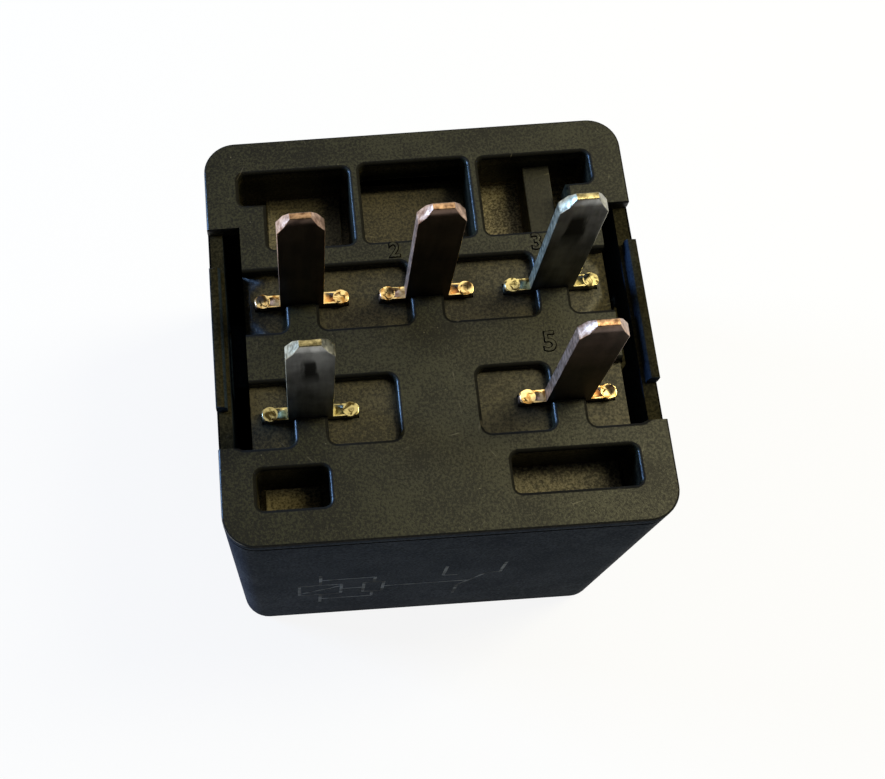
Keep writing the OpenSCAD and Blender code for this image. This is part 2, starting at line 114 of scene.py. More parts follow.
camera_data = bpy.data.cameras.new("camera")
camera_data.lens = LENS
camera_data.sensor_width = SENSOR
camera_data.shift_x = SHIFT
camera_data.clip_start = NEAREST_SEEN
camera = bpy.data.objects.new("camera", camera_data)
bpy.context.scene.collection.objects.link(camera)
turn = (CAMERA_AIM - CAMERA_PLACE).to_track_quat("-Z", "Y").to_matrix().to_4x4()
roll = Matrix.Rotation(radians(CAMERA_ROLL), 4, "Z")
camera.matrix_world = Matrix.Translation(CAMERA_PLACE) @ turn @ roll
bpy.context.scene.camera = camera
print("camera", [round(v/MM, 1) for v in CAMERA_PLACE], "lens", LENS)

# %% [markdown]
# ## Helpers for finishes
# Colours are written as hex codes, as a paint chart gives them, and one function turns them to the
# linear values that the renderer works in. Shader nodes could be placed and linked by hand, line by
# line, but one function that adds a node with its settings and links keeps each of them on a line or
# two. The kinds of node and of sum have short names, so that a formula can still be read.

# %% Colour and node helpers
RANGE, MATH, MIX = "ShaderNodeMapRange", "ShaderNodeMath", "ShaderNodeMix"
NOISE, CELLS, WAVES = "ShaderNodeTexNoise", "ShaderNodeTexVoronoi", "ShaderNodeTexWave"
COORDINATES, SPLIT, BUMP = "ShaderNodeTexCoord", "ShaderNodeSeparateXYZ", "ShaderNodeBump"
SURFACE, OUTPUT = "ShaderNodeBsdfPrincipled", "ShaderNodeOutputMaterial"
TIMES, TIMES_PLUS = {"operation": "MULTIPLY"}, {"operation": "MULTIPLY_ADD"}
PLUS, MINUS = {"operation": "ADD"}, {"operation": "SUBTRACT"}
LARGER, UNSIGNED, WRAP = {"operation": "MAXIMUM"}, {"operation": "ABSOLUTE"}, {"operation": "WRAP"}
COLOURS = {"data_type": "RGBA"}


def colour(code):
    """Linear RGBA from an sRGB hex code."""
    parts = [int(code[i:i + 2], 16)/255 for i in (1, 3, 5)]
    return [p/12.92 if p <= 0.04045 else ((p + 0.055)/1.055)**2.4 for p in parts] + [1.0]


def pair(dark, light):
    """A dark and a light colour from their hex codes, as the two ends of a blend."""
    return {"A": colour(dark), "B": colour(light)}


def add(tree, kind, settings=None, **inputs):
    """Adds a node. settings are its own properties. Each input is named, or counted as in _0, and its value
    is a number, a colour, a socket to link from, or a node, whose first output in use is then linked."""
    node = tree.nodes.new(kind)
    for name, value in (settings or {}).items():
        setattr(node, name, value)
    for name, value in inputs.items():
        if name[0] == "_":
            target = node.inputs[int(name[1:])]
        else:
            target = next(s for s in node.inputs if s.enabled and s.name == name.replace("_", " "))
        if isinstance(value, bpy.types.Node):
            value = next(s for s in value.outputs if s.enabled)
        if isinstance(value, bpy.types.NodeSocket):
            tree.links.new(value, target)
        else:
            target.default_value = value
    return node


def new_material(name):
    """A material with an empty node tree."""
    material = bpy.data.materials.new(name)
    material.use_nodes = True
    tree = material.node_tree
    tree.nodes.clear()
    return material, tree


def per_mm(size):
    """Texture scale for a feature of that many millimetres."""
    return 1/(size*MM)


def fill_slots(piece, *materials):
    """Gives a piece these materials and no others."""
    piece.data.materials.clear()
    for material in materials:
        piece.data.materials.append(material)

# %% [markdown]
# ## Moulded plastic
# Base and cover are moulded from black engineering plastic filled with short glass fibres. The fibres
# lie just under the skin, so a face looks faintly mottled, with a fine grain, a few bright fibre ends
# and some hair-thin scratches. A picture of such plastic could be wrapped round the pieces, but it would
# stretch on the walls. Patterns that are worked out from a point's place look the same on every side.

# %% Pattern of glass-filled plastic
# Sizes in millimetres. The real grain is some 0.05 mm, too fine to show, so it is drawn coarser.
CLOUD = 4
GRAIN = 0.18
FIBRE_ENDS = 0.9
SCRATCHES = 9
SCRATCHED_PATCH = 1.1
GRAIN_HEIGHT = 0.02*MM


def mottling(tree, place):
    """Broad clouds with the grain on top of them, and the grain alone."""
    cloud = add(tree, NOISE, Vector=place, Scale=per_mm(CLOUD), Detail=6.0, Roughness=0.65)
    grain = add(tree, NOISE, Vector=place, Scale=per_mm(GRAIN), Detail=3.0, Roughness=0.75)
    calm = add(tree, MATH, TIMES_PLUS, _0=cloud, _1=0.45, _2=0.275)
    return add(tree, MATH, PLUS, _0=calm, _1=grain), grain


def scratches(tree, place):
    """1 along thin straight lines, and only in patches."""
    cells = add(tree, CELLS, {"feature": "DISTANCE_TO_EDGE"}, Vector=place, Scale=per_mm(SCRATCHES))
    line = add(tree, RANGE, Value=cells, From_Min=0.0045, From_Max=0.002)
    where = add(tree, NOISE, Vector=place, Scale=per_mm(SCRATCHED_PATCH), Detail=2.0)
    here = add(tree, RANGE, Value=where, From_Min=0.56, From_Max=0.8, To_Max=0.6)
    return add(tree, MATH, TIMES, _0=line, _1=here)

# %% Glass-filled plastic
def glass_filled_plastic(name, tones, rough, grain_strength, glint, gloss, by_place=None):
    """Mottled plastic. by_place changes its colour and roughness from place to place."""
    material, tree = new_material(name)
    coords = add(tree, COORDINATES)
    place = coords.outputs["Object"]
    mottled, grain = mottling(tree, place)
    share = add(tree, RANGE, Value=mottled, From_Min=0.94, From_Max=1.08)
    fibre = add(tree, CELLS, Vector=place, Scale=per_mm(FIBRE_ENDS))
    spark = add(tree, RANGE, Value=fibre, From_Min=0.045, From_Max=0.01)
    tone = add(tree, MIX, COLOURS, Factor=spark, A=add(tree, MIX, COLOURS, Factor=share, **tones), B=glint)
    dull = add(tree, RANGE, Value=mottled, From_Min=0.8, From_Max=1.2, To_Min=rough + 0.1,
               To_Max=rough - 0.08)
    if by_place:
        tone, dull = by_place(tree, coords, mottled, tone, dull)
    worn = add(tree, MIX, COLOURS, Factor=scratches(tree, place), A=tone, B=glint)
    bumps = add(tree, BUMP, Height=grain, Strength=grain_strength, Distance=GRAIN_HEIGHT)
    shader = add(tree, SURFACE, Base_Color=worn, Roughness=dull, Normal=bumps, Specular_IOR_Level=gloss)
    add(tree, OUTPUT, Surface=shader)
    return material

# %% [markdown]
# ### Painted light and shade on the base
# On the base each pocket looks a tone of its own. The bottoms are painted pale, as painted light where the
# lamps hardly reach them, and the mouths and a rib are painted dark, as painted shade; mouths that look left
# are made glossier, to pick up a bluish stripe from the window. Light alone would bring out only part of
# this, and painting an image for it would need an unwrapped mesh. Depth below the face tells the places
# apart, so the colours are mixed by it.

# %% Pocket bottoms, mouths and the rib by depth
# How much of each change a place gets, and by how much a mouth's roughness rises or falls.
RECESS_SHARE = 0.8
# Painted shade: how much of the painted light the left rear pocket's bottom loses.
LEFT_REAR_LESS = -0.75
RIB_SHADE = 0.55
MOUTH_DULL = 0.4
STRIPE_GLOSS = -0.13


def pocket_bottoms(tree, place, mottled, tone):
    """Painted light: pale bottoms of the shallow recesses and of the pockets, palest where a pocket is deep.
    """
    at = add(tree, SPLIT, Vector=place)
    x, y, z = at.outputs["X"], at.outputs["Y"], at.outputs["Z"]
    pocket = add(tree, RANGE, Value=z, From_Min=depth(2.3), From_Max=depth(2.9))
    recess = add(tree, MATH, TIMES, _0=add(tree, RANGE, Value=z, From_Min=depth(0.5), From_Max=depth(0.75)),
                 _1=add(tree, RANGE, Value=z, From_Min=depth(1.1), From_Max=depth(0.9)))
    sunk = add(tree, MATH, LARGER, _0=pocket, _1=add(tree, MATH, TIMES, _0=recess, _1=RECESS_SHARE))
    share = add(tree, RANGE, Value=mottled, From_Min=0.9, From_Max=1.12)
    # Painted light: the recess and pocket bottoms are mixed toward a pale tone.
    tone = add(tree, MIX, COLOURS, Factor=sunk, A=tone,
               B=add(tree, MIX, COLOURS, Factor=share, **pair("#191710", "#453f2e")))
    # Painted light: the deepest pocket bottoms are mixed paler still.
    bottom = add(tree, RANGE, Value=z, From_Min=depth(3.3), From_Max=depth(3.8))
    # Painted shade: the left rear pocket's bottom keeps less of the painted light.
    left_rear = add(tree, MATH, TIMES, _0=add(tree, RANGE, Value=x, From_Min=-3.5*MM, From_Max=-5*MM),
                    _1=add(tree, RANGE, Value=y, From_Min=3*MM, From_Max=5*MM))
    kept = add(tree, MATH, TIMES_PLUS, _0=left_rear, _1=LEFT_REAR_LESS, _2=1.0)
    return add(tree, MIX, COLOURS, Factor=add(tree, MATH, TIMES, _0=bottom, _1=kept), A=tone,
               B=add(tree, MIX, COLOURS, Factor=share, **pair("#342e21", "#857b5f")))


def base_places(tree, coords, mottled, tone, dull):
    """Painted light on the bottoms, painted shade on the dark dull mouths and the rib, and glossier mouths
    that look left.
    """
    place = coords.outputs["Object"]
    tone = pocket_bottoms(tree, place, mottled, tone)
    z = add(tree, SPLIT, Vector=place).outputs["Z"]
    to_right = add(tree, SPLIT, Vector=coords.outputs["Normal"]).outputs["X"]
    # Painted shade: mouths just below the face that don't look left are darkened to near black and dulled.
    rim = add(tree, MATH, TIMES, _0=add(tree, RANGE, Value=z, From_Min=depth(0.002), From_Max=depth(0.015)),
              _1=add(tree, RANGE, Value=z, From_Min=depth(0.3), From_Max=depth(0.24)))
    mouth = add(tree, MATH, TIMES, _0=rim,
                _1=add(tree, RANGE, Value=to_right, From_Min=-0.5, From_Max=-0.25))
    stripe = add(tree, MATH, TIMES, _0=rim,
                 _1=add(tree, RANGE, Value=to_right, From_Min=-0.25, From_Max=-0.45))
    # Painted shade: the rib across one pocket is darkened part way.
    rib = add(tree, MATH, TIMES, _0=add(tree, RANGE, Value=z, From_Min=depth(1.3), From_Max=depth(1.6)),
              _1=add(tree, RANGE, Value=z, From_Min=depth(2.1), From_Max=depth(1.8)))
    shaded = add(tree, MATH, LARGER, _0=mouth, _1=add(tree, MATH, TIMES, _0=rib, _1=RIB_SHADE))
    tone = add(tree, MIX, COLOURS, Factor=shaded, A=tone, B=colour("#040403"))
    dull = add(tree, MATH, TIMES_PLUS, _0=mouth, _1=MOUTH_DULL, _2=dull)
    return tone, add(tree, MATH, TIMES_PLUS, _0=stripe, _1=STRIPE_GLOSS, _2=dull)

# %% [markdown]
# ### Painted light on the cover
# The cover is the same kind of plastic, yet its walls look smoother and bluer than the base, while the tops
# of its latch tongues lie beside the base and look as olive. Both tints are painted light: cool light on the
# walls, warm light from above on the tops. Two materials could be given to its faces by hand, but the way a
# face looks already tells them apart.

# %% Tops of the tongues, and the plastics themselves
def cover_places(tree, coords, mottled, tone, dull):
    """Faces that look up get the base's olive: painted warm light from the overhead lamp."""
    up = add(tree, SPLIT, Vector=coords.outputs["Normal"]).outputs["Z"]
    share = add(tree, RANGE, Value=mottled, From_Min=0.9, From_Max=1.14)
    tone = add(tree, MIX, COLOURS, Factor=add(tree, RANGE, Value=up, From_Min=0.6, From_Max=0.9), A=tone,
               B=add(tree, MIX, COLOURS, Factor=share, **pair("#1a1912", "#312e22")))
    return tone, dull


# Moulded nylon with glass fibres: nearly black with an olive cast, a coarse satin grain and pale flecks.
base_finish = glass_filled_plastic("glass filled nylon, base, painted light and shade", pair("#070704", "#2a2a1d"), 0.44, 0.9,
                                   colour("#7d7765"), 0.25, base_places)
# The same from a finer mould: an even bluish black, which is the cool light on its walls painted in, with
# hardly any gloss, so that the pale floor, seen in it at a grazing angle, doesn't turn its walls grey.
cover_finish = glass_filled_plastic("glass filled nylon, cover, painted light", pair("#1b222b", "#262e38"), 0.45, 0.12,
                                    colour("#3c4044"), 0.0018, cover_places)
# Painted shade deep in notches and seams: the same plastic, black without gloss, which reads as a narrow
# dark gap.
painted_shade_finish = glass_filled_plastic("glass filled nylon, painted shade", pair("#050505", "#0b0b0a"), 0.6,
                                    0.1, colour("#0b0b0a"), 0.0)
print("plastic finishes made")

# %% [markdown]
# ## Terminal strip
# The blades are cut from rolled strip. Their broad faces have tarnished nearly black, or carry a dull
# tin plate, while the cut sides, the coined tips and the peened shoulders are bare bright metal. Each
# kind of surface could be a material of its own, but their borders would then be as sharp as the mesh's
# edges. One material mixes them by the surface's own direction and height, and they run into each other
# as on metal.

# %% Marks on the rolled faces and the peened heads
# The rear row stands at ROW_Y and the front one a ROW nearer. A head's middle is HEAD_X beside its blade.
ROW_Y = 2.2*MM
ROW = 7.7*MM
HEAD_X, HEAD_Y = 2.42*MM, -0.08*MM
RING_RADIUS = 0.64*MM
SWIRL_BEND = 0.7*MM
WANDER = 2*MM


def dark_smear(tree, at, in_column, streak, strength):
    """How much of a dark smear a point has, below the tip and up the middle of a blade."""
    wander = add(tree, MATH, TIMES_PLUS, _0=streak, _1=WANDER, _2=in_column)
    aside = add(tree, MATH, UNSIGNED, _0=add(tree, MATH, MINUS, _0=wander, _1=WANDER/2))
    narrow = add(tree, RANGE, Value=aside, From_Min=0.62*MM, From_Max=0.36*MM)
    z = at.outputs["Z"]
    high = add(tree, RANGE, Value=z, From_Min=blade_top - 5.6*MM, From_Max=blade_top - 3.9*MM)
    capped = add(tree, RANGE, Value=z, From_Min=blade_top - 1.3*MM, From_Max=blade_top - 2.2*MM)
    mark = add(tree, MATH, TIMES, _0=narrow, _1=add(tree, MATH, TIMES, _0=high, _1=capped))
    return add(tree, MATH, TIMES, _0=mark, _1=strength)


def head_groove(tree, at, in_column, swirl, nick):
    """1 along parts of a bent ring round each peened head."""
    out = add(tree, MATH, UNSIGNED, _0=in_column)
    beside = add(tree, MATH, WRAP, _0=add(tree, MATH, MINUS, _0=at.outputs["Y"], _1=ROW_Y),
                 _1=-ROW/2, _2=ROW/2)
    spot = add(tree, "ShaderNodeCombineXYZ", X=out, Y=beside)
    off = add(tree, "ShaderNodeVectorMath", {"operation": "DISTANCE"}, _0=spot, _1=(HEAD_X, HEAD_Y, 0))
    bent = add(tree, MATH, TIMES_PLUS, _0=swirl, _1=SWIRL_BEND, _2=off)
    thin = add(tree, MATH, UNSIGNED, _0=add(tree, MATH, MINUS, _0=bent, _1=RING_RADIUS))
    return add(tree, MATH, TIMES, _0=add(tree, RANGE, Value=thin, From_Min=0.08*MM, From_Max=0.03*MM),
               _1=add(tree, RANGE, Value=nick, From_Min=0.44, From_Max=0.54))

# %% Rolled and cut terminal metal
STREAK_STRETCH = 0.12
DENT = 0.02*MM


def terminal_metal(name, rolled, sheared, tip, shoulder, matt, smear=0.0):
    """Strip with four kinds of surface, each a pair of colours. matt dulls the rolled faces."""
    material, tree = new_material(name)
    coords = add(tree, COORDINATES)
    place = coords.outputs["Object"]
    at = add(tree, SPLIT, Vector=place)
    facing = add(tree, SPLIT, Vector=coords.outputs["Normal"])
    broad = add(tree, MATH, UNSIGNED, _0=facing.outputs["Y"])
    narrow = add(tree, MATH, UNSIGNED, _0=facing.outputs["X"])
    in_column = add(tree, MATH, WRAP, _0=at.outputs["X"], _1=-COLUMN/2, _2=COLUMN/2)
    long_way = add(tree, "ShaderNodeMapping", Vector=place, Scale=(1, 1, STREAK_STRETCH))
    streak = add(tree, NOISE, Vector=long_way, Scale=per_mm(0.7), Detail=5.0, Roughness=0.6)
    stain = add(tree, NOISE, Vector=place, Scale=per_mm(2.2), Detail=4.0)
    nick = add(tree, NOISE, Vector=place, Scale=per_mm(0.3), Detail=4.0)
    swirl = add(tree, NOISE, Vector=place, Scale=per_mm(0.55), Detail=3.0, Distortion=1.0)
    stained = add(tree, MATH, PLUS, _0=streak, _1=stain)
    nicked = add(tree, RANGE, Value=nick, From_Min=0.35, From_Max=0.65)
    peened = add(tree, RANGE, Value=swirl, From_Min=0.4, From_Max=0.54)

    face = add(tree, MIX, COLOURS, Factor=add(tree, RANGE, Value=stained, From_Min=0.8, From_Max=1.25),
               **rolled)
    if smear:
        face = add(tree, MIX, COLOURS, A=face, B=colour("#151412"),
                   Factor=dark_smear(tree, at, in_column, streak, smear))
    side = add(tree, MIX, COLOURS, Factor=nicked, **sheared)
    top = add(tree, MIX, COLOURS, Factor=nicked, **tip)
    head = add(tree, MIX, COLOURS, Factor=head_groove(tree, at, in_column, swirl, nick),
               A=add(tree, MIX, COLOURS, Factor=peened, **shoulder), B=colour("#2e2110"))

    z = at.outputs["Z"]
    up = add(tree, MIX, COLOURS, A=head, B=top,
             Factor=add(tree, RANGE, Value=z, From_Min=depth(-1), From_Max=depth(-3)))
    up = add(tree, MIX, COLOURS, A=up, B=face,
             Factor=add(tree, RANGE, Value=z, From_Min=depth(1.2), From_Max=depth(1.8)))
    cut = add(tree, MIX, COLOURS, Factor=add(tree, RANGE, Value=narrow, From_Min=0.3, From_Max=0.6),
              A=up, B=side)
    tone = add(tree, MIX, COLOURS, Factor=add(tree, RANGE, Value=broad, From_Min=0.75, From_Max=0.92),
               A=cut, B=face)

    plated = add(tree, MATH, TIMES, _0=add(tree, RANGE, Value=broad, From_Min=0.9, From_Max=0.98), _1=matt)
    torn = add(tree, MATH, LARGER, _0=plated,
               _1=add(tree, RANGE, Value=narrow, From_Min=0.9, From_Max=0.98))
    dull = add(tree, MATH, TIMES_PLUS, _0=torn, _1=0.22,
               _2=add(tree, RANGE, Value=nick, To_Min=0.24, To_Max=0.4))
    dents = add(tree, BUMP, Height=nick, Strength=0.25, Distance=DENT)
    shader = add(tree, SURFACE, Base_Color=tone, Metallic=1.0, Roughness=dull, Normal=dents)
    add(tree, OUTPUT, Surface=shader)
    return material


# Bare copper alloy: brown tarnish in faint upright streaks, pinkish cut sides and tips, golden heads.
copper_finish = terminal_metal("copper alloy strip", rolled=pair("#50433a", "#776357"),
                               sheared=pair("#8a6a56", "#d9b79c"), tip=pair("#6f5342", "#cba68a"),
                               shoulder=pair("#a87a40", "#f6dba4"), matt=0.0)
# Tinned copper alloy: soft grey faces with a dark smear, and yellowish edges where the cut bares the copper.
tinned_finish = terminal_metal("tinned copper alloy strip", rolled=pair("#6c6c69", "#acaca8"),
                               sheared=pair("#6f6d5e", "#bdb9a0"), tip=pair("#6a6045", "#c4b78f"),
                               shoulder=pair("#4d4226", "#c8ba8a"), matt=0.45, smear=0.95)
print("terminal finishes made")

# %% [markdown]
# ## Pieces inside the cover
# Nobody sees these until the cover is off. One grey could do for them all, but each gets the finish of
# its real material, so that the part also looks right with its cover hidden: plated iron for the magnet,
# bare spring metal, silver contacts, lacquered wire and natural plastic.

# %% Inner metals and wound wire
def clouded_metal(name, tones, rough, cloud_size):
    """Bare or plated metal with soft clouds of that size in millimetres."""
    material, tree = new_material(name)
    place = add(tree, COORDINATES).outputs["Object"]
    cloud = add(tree, NOISE, Vector=place, Scale=per_mm(cloud_size), Detail=5.0)
    tone = add(tree, MIX, COLOURS, Factor=add(tree, RANGE, Value=cloud, From_Min=0.35, From_Max=0.65),
               **tones)
    bumps = add(tree, BUMP, Height=cloud, Strength=0.15, Distance=DENT)
    shader = add(tree, SURFACE, Base_Color=tone, Metallic=1.0, Roughness=rough, Normal=bumps)
    add(tree, OUTPUT, Surface=shader)
    return material


WIRE = 0.3  # the real wire is some 0.12 mm thick, too fine to show, so it is drawn this coarse
WAVE_FACTOR = 0.314  # at a scale of 1, a wave texture repeats once in this length


def wound_wire(name, tones, wire):
    """Turns of wire lying side by side up the coil."""
    material, tree = new_material(name)
    place = add(tree, COORDINATES).outputs["Object"]
    turns = add(tree, WAVES, {"bands_direction": "Z"}, Vector=place, Scale=per_mm(wire)*WAVE_FACTOR,
                Distortion=0.4, Detail=1.0)
    tone = add(tree, MIX, COLOURS, Factor=add(tree, RANGE, Value=turns, From_Min=0.1, From_Max=0.8), **tones)
    bumps = add(tree, BUMP, Height=turns, Strength=0.6, Distance=wire*MM/2)
    shader = add(tree, SURFACE, Base_Color=tone, Metallic=0.6, Roughness=0.3, Normal=bumps)
    add(tree, OUTPUT, Surface=shader)
    return material

# %% Finishes of the inner pieces
# Cold, faintly cloudy grey that shines softly.
iron_finish = clouded_metal("zinc-plated iron", pair("#9a9da0", "#c2c5c6"), 0.35, 0.6)
# Warm orange brown with a clear shine, and broad stains.
spring_finish = clouded_metal("copper alloy spring strip", pair("#b07a45", "#d6a468"), 0.28, 1.2)
# Pale yellow, so that the rivets stand out from the leaf.
rivet_finish = clouded_metal("brass rivet", pair("#b5994f", "#dcc27c"), 0.3, 0.5)
# The brightest and whitest metal in the relay.
silver_finish = clouded_metal("silver alloy contact", pair("#b9b9b5", "#e4e4df"), 0.25, 0.4)
# Darker, cool grey with thin highlights along each turn.
steel_finish = clouded_metal("spring steel wire", pair("#85888c", "#b1b4b8"), 0.3, 0.3)
# Reddish and speckled, as many fine bare strands look.
braid_finish = clouded_metal("braided bare copper", pair("#7c3c20", "#c97748"), 0.4, 0.2)
# Light, slightly frosted grey.
lead_finish = clouded_metal("tinned wire", pair("#b0b2b2", "#d8dad8"), 0.3, 0.4)
# Dark red turns with a lacquered shine on each.
coil_finish = wound_wire("enamelled copper wire", pair("#45160a", "#a1502a"), WIRE)
# Cream plastic with a low sheen.
bobbin_finish = glass_filled_plastic("natural nylon, bobbin", pair("#b9b19a", "#cfc8b4"), 0.5, 0.2,
                                     colour("#dcd6c6"), 0.4)
# Smooth pale blue lacquer.
resistor_finish = glass_filled_plastic("lacquered ceramic, resistor", pair("#86a8b8", "#9cbccb"), 0.35, 0.1,
                                       colour("#b8d2dd"), 0.5)
print("inner finishes made")

# %% [markdown]
# Every piece of the model now gets its finish. Copies of the pieces could carry it, but a piece whose
# shape is right already needs none: its material slots are refilled in place, and its mesh isn't
# touched.

# %% Give each piece its finish
FINISHES = {
    "base": base_finish, "cover": cover_finish,
    "coil_terminal_left": copper_finish, "common_terminal": copper_finish,
    "open_contact_terminal": copper_finish,
    "coil_terminal_right": tinned_finish, "closed_contact_terminal": tinned_finish,
    "yoke": iron_finish, "core": iron_finish, "armature": iron_finish, "common_rivets": iron_finish,
    "bobbin": bobbin_finish, "coil_winding": coil_finish,
    "contact_spring": spring_finish, "spring_rivets": rivet_finish,
    "moving_contact": silver_finish, "closed_contact": silver_finish, "open_contact": silver_finish,
    "return_spring": steel_finish, "flexible_shunt": braid_finish,
    "resistor": resistor_finish, "resistor_leads": lead_finish,
}
for name, material in FINISHES.items():
    fill_slots(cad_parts[name], material)
print("finished", len(FINISHES), "pieces")

# %% [markdown]
# ## Softened edges
# A moulded part has no sharp edges: the tool leaves a small round at the mouth of every pocket, and it
# catches the light as a thin stripe. A bevel modifier could round all the edges of a piece at once, but
# the rounds differ from place to place. So a copy of the piece stands in for it. The copy's loose
# triangles are merged, its flat faces joined up, and the wanted edges are then picked by rule and
# bevelled in edit mode.

# %% Merged copy of a model piece
MERGE_GAP = 0.002*MM
SAME_PLANE = radians(0.4)


def deselect():
    bpy.ops.object.select_all(action="DESELECT")


def make_active(piece):
    deselect()
    piece.select_set(True)
    bpy.context.view_layer.objects.active = piece


def merged_copy(node, name, flats=True):
    """A copy of a piece of the model, its corners merged and, with flats, its flat faces joined up."""
    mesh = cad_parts[node].data.copy()
    mesh.name = name
    piece = bpy.data.objects.new(name, mesh)
    bpy.context.scene.collection.objects.link(piece)
    make_active(piece)
    bpy.ops.object.mode_set(mode="EDIT")
    bpy.ops.mesh.select_all(action="SELECT")
    bpy.ops.mesh.remove_doubles(threshold=MERGE_GAP)
    if flats:
        bpy.ops.mesh.dissolve_limited(angle_limit=SAME_PLANE)
    bpy.ops.object.mode_set(mode="OBJECT")
    return piece

# %% Bevel the edges that a rule picks
def bevel(piece, wanted, width, segments):
    """Bevels the edges that wanted() agrees to by a width in millimetres, and counts them."""
    make_active(piece)
    bpy.ops.object.mode_set(mode="EDIT")
    bpy.ops.mesh.select_all(action="DESELECT")
    bpy.ops.mesh.select_mode(type="EDGE")
    shape = bmesh.from_edit_mesh(piece.data)
    picked = [edge for edge in shape.edges if wanted(edge)]
    for edge in picked:
        edge.select_set(True)
    count = len(picked)
    bmesh.update_edit_mesh(piece.data)
    if count:
        bpy.ops.mesh.bevel(offset=width*MM, segments=segments, profile=0.5, affect="EDGES",
                           clamp_overlap=False, loop_slide=False)
    bpy.ops.object.mode_set(mode="OBJECT")
    return count


def soften(piece, wanted, width, segments, facing=1):
    """Bevels the wanted edges round flat faces that look up, or down where facing is -1."""
    def round_a_flat(edge):
        if len(edge.link_faces) != 2 or not edge.is_convex:
            return False
        flat, wall = sorted(edge.link_faces, key=lambda f: -f.normal.z*facing)
        return flat.normal.z*facing > 0.99 and abs(wall.normal.z) < 0.2 and wanted(edge, wall)
    return bevel(piece, round_a_flat, width, segments)


def shade(piece, angle):
    """Smooths a piece over turns of less than that many degrees, and keeps its flat faces flat."""
    make_active(piece)
    bpy.ops.object.shade_smooth_by_angle(angle=radians(angle))
    even = piece.modifiers.new("even flats", "WEIGHTED_NORMAL")
    even.keep_sharp = True
    bpy.ops.object.modifier_apply(modifier=even.name)

# %% [markdown]
# ### The base
# How deep the wall below an edge goes tells which edge of the base it is: the outline's 1 mm flange, a
# recess of 0.8 mm, or a pocket. Edges could also be listed by number, but such a list breaks as soon as
# the model changes. The slots that the terminals stand in stay sharp, because peened metal fills them.

# %% Rules that tell edges apart
CORNER = 2.1*MM
LEVEL_SLACK = 0.01*MM
SLOT_REACH, SLOT_HALF = 3.3*MM, 0.5*MM


def wall_depth(wall):
    """How far below the base's face a wall reaches, in millimetres."""
    return (face_z - min(v.co.z for v in wall.verts))/MM


def at_level(edge, z):
    return all(abs(v.co.z - z) < LEVEL_SLACK for v in edge.verts)


def from_wall(point):
    """How far inside the base's outer wall, with its round corners, a point is."""
    beyond_x = abs(point.x) - base_high[0] + CORNER
    beyond_y = abs(point.y) - base_high[1] + CORNER
    if max(beyond_x, beyond_y) < 0:
        return CORNER
    return CORNER - Vector((max(beyond_x, 0), max(beyond_y, 0))).length


def along_wall(edge, reach):
    return all(from_wall(v.co) < reach*MM for v in edge.verts)


def on_face(edge):
    """True for an edge of the base's face that isn't at a terminal's slot."""
    middle = (edge.verts[0].co + edge.verts[1].co)/2
    slot = any(abs(middle.x - x) < SLOT_REACH and abs(middle.y - y) < SLOT_HALF
               for x, y in PLACES.values())
    return at_level(edge, face_z) and not slot

# %% The base with its edges softened
NOTCH_X = 11.84*MM
BLOCK_X = 11.8*MM

base_piece = merged_copy("base", "base_moulding")
pocket = soften(base_piece, lambda e, w: on_face(e) and 1.2 < wall_depth(w) < 5
                and abs(e.verts[0].co.x) < NOTCH_X, 0.25, 3)
recess = soften(base_piece, lambda e, w: on_face(e) and 0.75 < wall_depth(w) < 0.85, 0.25, 3)
flange = soften(base_piece, lambda e, w: at_level(e, face_z) and 0.85 < wall_depth(w) < 1.2, 0.14, 2)
flange += soften(base_piece, lambda e, w: along_wall(e, 0.05), 0.13, 2, facing=-1)
blocks = soften(base_piece, lambda e, w: 1 < (face_z - e.verts[0].co.z)/MM < 5
                and abs(e.verts[0].co.x) < BLOCK_X, 0.1, 2)
shade(base_piece, 32)
print("softened", pocket, "pocket,", recess, "recess,", flange, "flange and", blocks, "block edges")

# %% [markdown]
# The flange's outer wall looks as smooth and blue as the cover below it, and takes the cover's material with
# its painted cool light. The floor of each side notch, the nose in it and the flange's underside are lost in
# shade, and take the black plastic of painted shade. Paint could be mixed by place again, but here the
# borders really are edges of the mesh, so faces get materials of their own.

# %% Materials of the base's faces
NOTCH_INNER, NOTCH_HALF = 11.87*MM, 7.6*MM
FLANGE_SKIN, SEAM = 0.12*MM, 0.3*MM
OLIVE, BLUISH, SHADE = range(3)

fill_slots(base_piece, base_finish, cover_finish, painted_shade_finish)
for face in base_piece.data.polygons:
    # Painted cool light: the flange's outer wall gets the cover's bluish material.
    if abs(face.normal.z) < 0.35 and from_wall(face.center) < FLANGE_SKIN:
        face.material_index = BLUISH
    # Painted shade: faces deep in the side notches and the flange's underside get the black plastic.
    in_notch = abs(face.center.x) > NOTCH_INNER and abs(face.center.y) < NOTCH_HALF
    if in_notch and face.center.z < depth(1.2):
        face.material_index = SHADE
    if face.normal.z < -0.2 and from_wall(face.center) < SEAM:
        face.material_index = SHADE
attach(base_piece, "relay")
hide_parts("base")
for index, kind in ((OLIVE, "olive"), (BLUISH, "bluish"), (SHADE, "shaded")):
    print(kind, "faces:", sum(f.material_index == index for f in base_piece.data.polygons))

# %% [markdown]
# ### The cover
# The cover's two latch tongues stand up into the notches, level with the base. They could be pieces of their
# own, but on the real cover they are one with it. Only their upper edges and the rim need softening: the
# rest is hidden below the flange, and a line of painted shade on the rim makes the seam.

# %% The cover with its tongues softened
INNER_EDGE = cover_high[0] - 0.5*MM

cover_piece = merged_copy("cover", "cover_moulding")
tongues = soften(cover_piece, lambda e, w: at_level(e, face_z)
                 and all(abs(v.co.x) < INNER_EDGE for v in e.verts), 0.34, 3)
tongues += soften(cover_piece, lambda e, w: at_level(e, face_z), 0.12, 3)
rim = soften(cover_piece, lambda e, w: not at_level(e, face_z) and along_wall(e, 0.1), 0.13, 2)
shade(cover_piece, 32)
fill_slots(cover_piece, cover_finish, painted_shade_finish)
